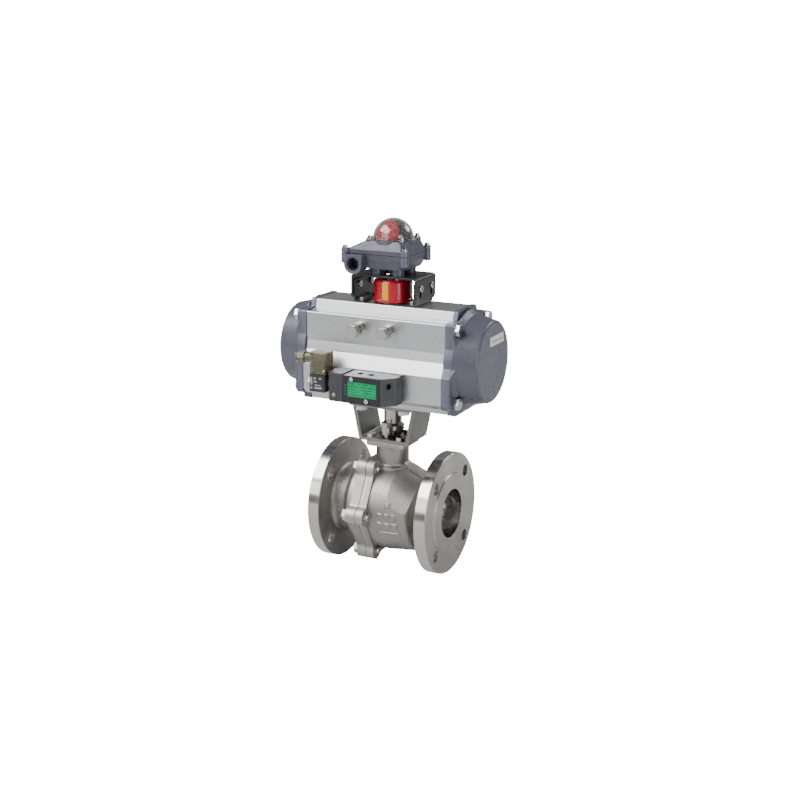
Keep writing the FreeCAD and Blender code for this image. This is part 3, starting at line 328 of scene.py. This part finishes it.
def anodised():
    """Extruded aluminium with die lines along its length under a satin anodised skin, and a painted shade
    on the narrow ledge along the top.
    """
    g = Graph("anodised_extrusion", ANODISED_TONE, 1.0, 0.34)
    lines = g.noise(1.0, 5, g.stretch((2.2, 620, 620)), 0.62)
    cloud = g.noise(11, 3)
    base = g.blend(lines, shade(ANODISED_TONE, 0.86), shade(ANODISED_TONE, 1.1))
    base = g.blend(g.math("MULTIPLY", g.span(cloud, 0.4, 0.75), 0.22), base, shade(ANODISED_TONE, 0.8))
    height = g.axes()[2]
    # painted shade: the narrow ledge at 309-312 mm height is coloured much darker, standing in for the
    # dark surroundings it reflects
    ledge_painted_shade = g.math("MULTIPLY", g.span(height, 0.3090, 0.3095), g.span(height, 0.3112, 0.3117, 1.0, 0.0))
    base = g.blend(ledge_painted_shade, base, shade(ANODISED_TONE, 0.32))
    g.color(g.blend(g.math("MULTIPLY", g.worn_edges(), 0.5), base, shade(ANODISED_TONE, 1.4)))
    g.roughness(g.span(lines, 0.25, 0.75, 0.30, 0.40))
    grain = g.math("ADD", g.math("MULTIPLY", lines, 0.8), g.math("MULTIPLY", g.noise(1500, 2), 0.4))
    g.surface(grain, 0.16, 0.00008, 0.0006)
    return g.material


def powder_coat(name, tone, roughness=0.36, peel=520, metallic=0.25):
    """Thick paint over a casting: fine orange peel, paler where it thins on the edges."""
    g = Graph(name, tone, metallic, roughness)
    cloud = g.noise(20, 4)
    dust = g.noise(2200, 2)
    base = g.blend(cloud, shade(tone, 0.86), shade(tone, 1.14))
    base = g.blend(g.span(dust, 0.62, 0.72, 0.0, 0.35), base, shade(tone, 1.7))
    g.color(g.blend(g.math("MULTIPLY", g.worn_edges(0.53, 0.66), 0.55), base, shade(tone, 2.2)))
    g.roughness(g.span(g.noise(90, 3), 0.3, 0.7, roughness - 0.06, roughness + 0.08))
    peel_height = g.math("ADD", g.noise(peel, 2), g.math("MULTIPLY", g.noise(130, 2), 0.7))
    g.surface(peel_height, 0.22, 0.00018, 0.0007)
    g.shader.inputs["Coat Weight"].default_value = 0.25
    g.shader.inputs["Coat Roughness"].default_value = 0.22
    return g.material


def plastic(name, tone, roughness=0.3, coat=0.0, grain=700, depth=0.12, rounding=0.0004):
    """Moulded plastic: faint flow marks, a fine surface grain and rubbed edges."""
    g = Graph(name, tone, 0.0, roughness)
    flow = g.noise(30, 4)
    base = g.blend(flow, shade(tone, 0.82), shade(tone, 1.12))
    g.color(g.blend(g.math("MULTIPLY", g.worn_edges(0.53, 0.66), 0.4), base, shade(tone, 1.6)))
    g.roughness(g.span(g.noise(160, 3), 0.3, 0.7, max(0.05, roughness - 0.06), roughness + 0.08))
    g.surface(g.noise(grain, 2), depth, 0.00008, rounding)
    g.shader.inputs["Coat Weight"].default_value = coat
    g.shader.inputs["Coat Roughness"].default_value = 0.08
    return g.material


def clear(name, tone, roughness, weight, rounding=0.0003):
    """See-through plastic with a faint moulding swirl."""
    g = Graph(name, tone, 0.0, roughness)
    g.shader.inputs["Transmission Weight"].default_value = weight
    g.shader.inputs["IOR"].default_value = 1.49
    swirl = g.noise(45, 3)
    g.color(g.blend(swirl, shade(tone, 0.93), shade(tone, 1.04)))
    g.roughness(g.span(swirl, 0.3, 0.7, roughness, roughness + 0.05))
    return g.material


def rubber(name, tone):
    g = Graph(name, tone, 0.0, 0.7)
    speck = g.noise(1400, 2)
    g.color(g.blend(speck, shade(tone, 0.7), shade(tone, 1.7)))
    g.roughness(g.span(g.noise(200, 3), 0.3, 0.7, 0.6, 0.8))
    g.surface(speck, 0.25, 0.0001, 0.0003)
    return g.material


def dress(material, *names):
    for name in names:
        mesh = NODES[name].data
        mesh.materials.clear()
        mesh.materials.append(material)


def face_flanges():
    """The turned material on the flange faces of both castings."""
    face = turned_face()
    for name in ("valve_body", "end_cap"):
        mesh = NODES[name].data
        mesh.materials.append(face)
        for polygon in mesh.polygons:
            out = abs(polygon.center.x - STEM_X) > PIPE_LENGTH / 2 - 0.0022
            if out and abs(polygon.normal.x) > 0.9:
                polygon.material_index = 1


def printed_coil():
    """Moulded coil with blank bars where its data is printed."""
    tone = (0.030, 0.030, 0.033)
    g = Graph("coil_resin", tone, 0.0, 0.45)
    grain = g.noise(700, 2)
    base = g.blend(g.noise(30, 4), shade(tone, 0.8), shade(tone, 1.2))
    print_mask = g.bars([
        (-82.5, -79.5, 209, 221), (-82.5, -79.5, 203, 206.5), (-77, -73.5, 218, 220.5),
        (-68.5, -64, 218, 220.5), (-77, -72, 213, 215.5), (-75.5, -65.5, 208, 209.8),
        (-76, -63.5, 203.5, 206),
    ])
    worn = g.math("MULTIPLY", print_mask, g.span(g.noise(900, 2), 0.35, 0.6, 0.35, 0.8))
    g.color(g.blend(worn, base, (0.55, 0.55, 0.55)))
    g.roughness(g.span(g.noise(160, 3), 0.3, 0.7, 0.38, 0.52))
    g.surface(grain, 0.15, 0.00008, 0.0004)
    return g.material


def printed_label():
    """A green data plate: dashes stand for its lines of small print."""
    tone = (0.001, 0.34, 0.12)
    g = Graph("label_green", tone, 0.0, 0.55)
    g.shader.inputs["Specular IOR Level"].default_value = 0.15
    x, _, z = g.axes()
    row = g.math("FRACT", g.math("MULTIPLY", g.math("SUBTRACT", z, 0.2012), 1 / 0.0042))
    row_number = g.math("FLOOR", g.math("MULTIPLY", g.math("SUBTRACT", z, 0.2012), 1 / 0.0042))
    place = g.add("ShaderNodeCombineXYZ")
    g.feed(place.inputs[0], g.math("MULTIPLY", x, 330.0))
    g.feed(place.inputs[1], g.math("MULTIPLY", row_number, 7.3))
    words = g.noise(1.0, 1, place.outputs[0])
    dashes = g.math("MULTIPLY", g.window(row, 0.25, 0.62), g.span(words, 0.46, 0.5))
    base = g.blend(g.noise(60, 3), shade(tone, 0.85), shade(tone, 1.12))
    g.color(g.blend(g.math("MULTIPLY", dashes, 0.62), base, (0.002, 0.07, 0.035)))
    g.roughness(g.span(g.noise(160, 3), 0.3, 0.7, 0.5, 0.62))
    g.surface(g.noise(500, 2), 0.1, 0.00005, 0.0002)
    return g.material


def label_backing():
    """The dark plate around the green field, with green ticks beside it."""
    tone = (0.014, 0.016, 0.018)
    g = Graph("label_plate_dark", tone, 0.0, 0.45)
    ticks = g.bars([(-22.5, -19.5, low, low + 1.6) for low in (202.5, 207, 211.5, 216)])
    base = g.blend(g.noise(30, 4), shade(tone, 0.8), shade(tone, 1.2))
    g.color(g.blend(g.math("MULTIPLY", ticks, 0.8), base, (0.004, 0.22, 0.11)))
    g.roughness(g.span(g.noise(160, 3), 0.3, 0.7, 0.4, 0.52))
    g.surface(g.noise(700, 2), 0.12, 0.00008, 0.0003)
    return g.material


def sticker_paper():
    """White paper with grey dashes in place of its print."""
    g = Graph("sticker_paper", (0.80, 0.80, 0.82), 0.0, 0.5)
    _, y, z = g.axes()
    place = g.add("ShaderNodeCombineXYZ")
    g.feed(place.inputs[0], g.math("MULTIPLY", y, 330.0))
    line = g.window(z, 0.2755, 0.2800)
    dashes = g.math("MULTIPLY", line, g.span(g.noise(1.0, 1, place.outputs[0]), 0.42, 0.5))
    dashes = g.math("MULTIPLY", dashes, g.window(y, -0.006, 0.032))
    base = g.blend(g.noise(40, 3), (0.74, 0.74, 0.76), (0.84, 0.84, 0.86))
    g.color(g.blend(g.math("MULTIPLY", dashes, 0.7), base, (0.20, 0.20, 0.25)))
    g.roughness(g.span(g.noise(300, 3), 0.3, 0.7, 0.42, 0.55))
    g.surface(g.noise(900, 2), 0.1, 0.00004, 0.0001)
    return g.material


# ---- small pieces that ride on the housing -----------------------------------------------------
def closed_piece(name, material, outer, inner):
    """A thin closed solid between two matching grids of points (rows of equal length)."""
    mesh = bmesh.new()
    rows, columns = len(outer), len(outer[0])
    top = [[mesh.verts.new(point) for point in row] for row in outer]
    low = [[mesh.verts.new(point) for point in row] for row in inner]
    for i in range(rows - 1):
        for j in range(columns - 1):
            mesh.faces.new((top[i][j], top[i + 1][j], top[i + 1][j + 1], top[i][j + 1]))
            mesh.faces.new((low[i][j + 1], low[i + 1][j + 1], low[i + 1][j], low[i][j]))
    loop = [(0, j) for j in range(columns - 1)] + [(i, columns - 1) for i in range(rows - 1)]
    loop += [(rows - 1, j) for j in range(columns - 1, 0, -1)] + [(i, 0) for i in range(rows - 1, 0, -1)]
    for k, (i, j) in enumerate(loop):
        m, n = loop[(k + 1) % len(loop)]
        mesh.faces.new((top[i][j], top[m][n], low[m][n], low[i][j]))
    bmesh.ops.recalc_face_normals(mesh, faces=mesh.faces)
    data = bpy.data.meshes.new(name)
    mesh.to_mesh(data)
    mesh.free()
    data.materials.append(material)
    piece = bpy.data.objects.new(name, data)
    bpy.context.scene.collection.objects.link(piece)
    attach(piece, "housing")
    return piece


def make_sticker():
    """A small sticker near the top of the right-hand cap's end face."""
    corners = ((-0.0128, 0.2715), (0.0388, 0.2713), (0.0370, 0.2862), (-0.0140, 0.2855))
    (y0, z0), (y1, z1), (y2, z2), (y3, z3) = corners
    grids = []
    for x in (CAP_FACE_X + 0.00025, CAP_FACE_X - 0.0002):
        grids.append([[(x, y0, z0), (x, y1, z1)], [(x, y3, z3), (x, y2, z2)]])
    closed_piece("cap_sticker", sticker_paper(), *grids)


def make_cast_bars(material):
    """Blank raised bars on the front of the barrel, where such a valve carries its cast marks."""
    surface = BVHTree.FromObject(NODES["valve_body"], bpy.context.evaluated_depsgraph_get())
    bars = [(19, 28, 15.5, 24.5)]
    bars += [(low, low + 8.5, -2.5, 8) for low in (8, 19, 30)]
    bars += [(low, low + 9, -17, -7) for low in (7, 19, 31)]
    bars += [(7, 44, -26, -22.5)]
    for number, limits in enumerate(bars):
        x0, x1, z0, z1 = (value / 1000 for value in limits)
        outer, inner = [], []
        for i in range(9):
            z = z0 + (z1 - z0) * i / 8
            up, down = [], []
            for j in range(9):
                x = STEM_X + x0 + (x1 - x0) * j / 8
                hit, normal, _, _ = surface.ray_cast(Vector((x, -0.2, z)), Vector((0, 1, 0)))
                edge = min(i, 8 - i, j, 8 - j)
                up.append(hit + normal * (0.0003 if edge == 0 else 0.0013))
                down.append(hit - normal * 0.0006)
            outer.append(up)
            inner.append(down)
        piece = closed_piece("cast_bar_%d" % (number + 1), material, outer, inner)
        for polygon in piece.data.polygons:
            polygon.use_smooth = True


def make_lamp():
    """The yellow lamp in the lower corner of the clear plug."""
    g = Graph("lamp_yellow", (0.86, 0.80, 0.25), 0.0, 0.25)
    g.color(g.blend(g.noise(600, 2), (0.80, 0.72, 0.18), (0.92, 0.88, 0.40)))
    g.roughness(g.span(g.noise(300, 2), 0.3, 0.7, 0.2, 0.35))
    mesh = bmesh.new()
    bmesh.ops.create_uvsphere(mesh, u_segments=20, v_segments=12, radius=0.0016)
    data = bpy.data.meshes.new("plug_lamp")
    mesh.to_mesh(data)
    mesh.free()
    data.materials.append(g.material)
    for polygon in data.polygons:
        polygon.use_smooth = True
    lamp = bpy.data.objects.new("plug_lamp", data)
    low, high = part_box("connector_housing")
    lamp.location = (high.x - 0.0032, low.y - 0.0002, low.z + 0.0062)
    bpy.context.scene.collection.objects.link(lamp)
    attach(lamp, "housing")


def dress_everything():
    bright = turned_metal("bright_fasteners", (0.62, 0.61, 0.59), 0.17)
    steel = turned_metal("turned_steel", (0.52, 0.50, 0.475), 0.30)
    cast = casting()
    dress(cast, "valve_body", "end_cap")
    face_flanges()
    make_cast_bars(cast)
    make_sticker()
    make_lamp()
    dress(bright, "body_bolts", "bracket_bolts", "cap_bolts", "pilot_screws")
    bolt_steel = turned_metal("stop_bolt_steel", (0.58, 0.575, 0.56), 0.17, 0.0004, stop_bolt_thread)
    dress(bolt_steel, "stop_bolts")
    dress(bright, "connector_screw", "switch_bracket_screws", "switch_box_screws")
    dress(bright, "pinion_ring_and_screw")
    dress(steel, "gland_ring", "stem", "stem_nut_and_spring", "stop_plate", "pinion", "spool")
    dress(steel, "armature", "switch_shaft", "pilot_tube")
    dress(steel, "stop_plate_bolt")
    dress(brushed("coupling_bar", (0.60, 0.585, 0.56), 2, 0.28), "coupling")
    dress(turned_metal("lapped_ball", (0.74, 0.74, 0.745), 0.10), "ball")
    dress(brushed("bracket_plate", (0.25, 0.25, 0.232), 2, 0.40, 0.05), "mounting_bracket")
    dress(anodised(), "actuator_body")
    dress(turned_metal("die_cast_pistons", (0.55, 0.55, 0.55), 0.42), "piston_left", "piston_right")
    dress(powder_coat("slate_coat", SLATE_TONE), "actuator_cap_left", "actuator_cap_right")
    dress(powder_coat("slate_coat_fine", BOX_TONE, 0.38, 700), "switch_box_body", "switch_box_cover")
    dress(powder_coat("spring_coat", (0.03, 0.05, 0.10), 0.4, 900), "springs_left", "springs_right")
    black_coat = powder_coat("black_coat", (0.013, 0.013, 0.014), 0.38, 620, 0.0)
    dress(black_coat, "switch_bracket", "switch_bracket_feet")
    dress(rubber("black_rubber", (0.012, 0.012, 0.012)), "body_gasket", "cap_seals", "pilot_gaskets")
    dress(rubber("black_rubber_rings", (0.012, 0.012, 0.012)), "piston_seal_left", "piston_seal_right")
    dress(rubber("box_gasket", (0.02, 0.02, 0.02)), "switch_box_gasket")
    dress(plastic("white_fluoropolymer", (0.78, 0.77, 0.72), 0.4), "seat_rings", "stem_seals")
    dress(plastic("nylon_bush", (0.62, 0.58, 0.46), 0.45), "pinion_bushes")
    dress(powder_coat("pilot_coat", (0.030, 0.031, 0.038), 0.34, 800, 0.4), "pilot_body")
    dress(plastic("pilot_cover_plastic", (0.040, 0.040, 0.048), 0.38), "pilot_end_cover")
    dress(label_backing(), "pilot_label_plate")
    dress(printed_label(), "pilot_label")
    dress(printed_coil(), "pilot_coil")
    dress(clear("smoked_clear", (0.30, 0.28, 0.17), 0.12, 0.72), "connector_housing", "cable_gland")
    dress(plastic("terminal_insert", (0.10, 0.095, 0.06), 0.4), "connector_insert")
    dress(turned_metal("brass_button", (0.62, 0.50, 0.27), 0.3), "override_button")
    dress(plastic("cup_red", (0.50, 0.008, 0.026), 0.24, 0.5, 400, 0.08), "indicator_cup")
    dress(plastic("stripe_yellow", (0.90, 0.36, 0.015), 0.35), "indicator_stripe")
    dress(plastic("beacon_red", (0.52, 0.008, 0.010), 0.28), "beacon_red")
    dress(plastic("beacon_black", (0.010, 0.010, 0.011), 0.25), "beacon_black")
    dress(clear("dome_clear", (0.96, 0.97, 0.98), 0.02, 0.97), "beacon_dome")
    dress(plastic("switch_parts", (0.03, 0.03, 0.03), 0.4), "switch_cams", "microswitches_and_terminals")


# ---- studio -----------------------------------------------------------------------------------
PAPER_STRENGTH = 18           # how bright the camera sees the paper behind the object
PAPER_THROUGH_CLEAR = 0.015   # the share of it that clear plastic shows


def area_light(name, spot, aim, width, height, power, tint=(1, 1, 1)):
    data = bpy.data.lights.new(name, "AREA")
    data.shape = "RECTANGLE"
    data.size = width
    data.size_y = height
    data.energy = power
    data.color = tint
    light = bpy.data.objects.new(name, data)
    light.location = spot
    direction = Vector(aim) - Vector(spot)
    light.rotation_mode = "QUATERNION"
    light.rotation_quaternion = direction.to_track_quat("-Z", "Y")
    bpy.context.scene.collection.objects.link(light)


def seen_white(tree, plain, strength):
    """The camera sees bright paper, clear plastic shows some of it, and metal mirrors the plain shader."""
    path = tree.nodes.new("ShaderNodeLightPath")
    through = tree.nodes.new("ShaderNodeMath")
    through.operation = "MULTIPLY"
    through.inputs[1].default_value = PAPER_THROUGH_CLEAR
    tree.links.new(path.outputs["Is Transmission Ray"], through.inputs[0])
    share = tree.nodes.new("ShaderNodeMath")
    share.operation = "MAXIMUM"
    tree.links.new(path.outputs["Is Camera Ray"], share.inputs[0])
    tree.links.new(through.outputs[0], share.inputs[1])
    kind = "ShaderNodeEmission" if plain.type == "BSDF_PRINCIPLED" else "ShaderNodeBackground"
    paper = tree.nodes.new(kind)
    paper.inputs["Color"].default_value = (1, 1, 1, 1)
    paper.inputs["Strength"].default_value = strength
    choice = tree.nodes.new("ShaderNodeMixShader")
    tree.links.new(share.outputs[0], choice.inputs[0])
    tree.links.new(plain.outputs[0], choice.inputs[1])
    tree.links.new(paper.outputs[0], choice.inputs[2])
    for node in tree.nodes:
        if node.type in ("OUTPUT_MATERIAL", "OUTPUT_WORLD"):
            tree.links.new(choice.outputs[0], node.inputs["Surface"])


def make_studio():
    scene = bpy.context.scene
    mesh = bpy.data.meshes.new("floor")
    half = 9.0
    mesh.from_pydata(
        [(-half, -half, 0), (half, -half, 0), (half, half, 0), (-half, half, 0)], [], [(0, 1, 2, 3)]
    )
    floor = bpy.data.objects.new("floor", mesh)
    floor.location = (STEM_X, 0, FLOOR_Z - 0.0004)
    scene.collection.objects.link(floor)
    g = Graph("floor_paper", (0.60, 0.60, 0.60), 0.0, 0.85)
    g.color(g.blend(g.noise(3, 3), (0.58, 0.58, 0.58), (0.62, 0.62, 0.62)))
    mesh.materials.append(g.material)
    seen_white(g.tree, g.shader, PAPER_STRENGTH)

    world = bpy.data.worlds.new("studio")
    scene.world = world
    world.use_nodes = True
    background = world.node_tree.nodes["Background"]
    background.inputs["Color"].default_value = (1, 1, 1, 1)
    background.inputs["Strength"].default_value = 0.22
    seen_white(world.node_tree, background, PAPER_STRENGTH)

    middle = Vector((STEM_X, 0, 0.17))
    key = Vector((-0.46, -0.46, 0.76)).normalized()
    area_light("key", middle + key * 2.3, middle, 2.3, 1.2, 70)
    low = Vector((-0.42, -0.86, 0.34)).normalized()
    area_light("low_left", middle + low * 2.6, middle, 2.0, 1.0, 16)
    area_light("fill_right", (2.1, -0.9, 0.5), middle, 0.9, 1.4, 20)
    area_light("behind_right", (1.3, 1.8, 1.5), (1.0, 1.5, FLOOR_Z), 1.2, 1.2, 25)


make_camera()
dress_everything()
make_studio()
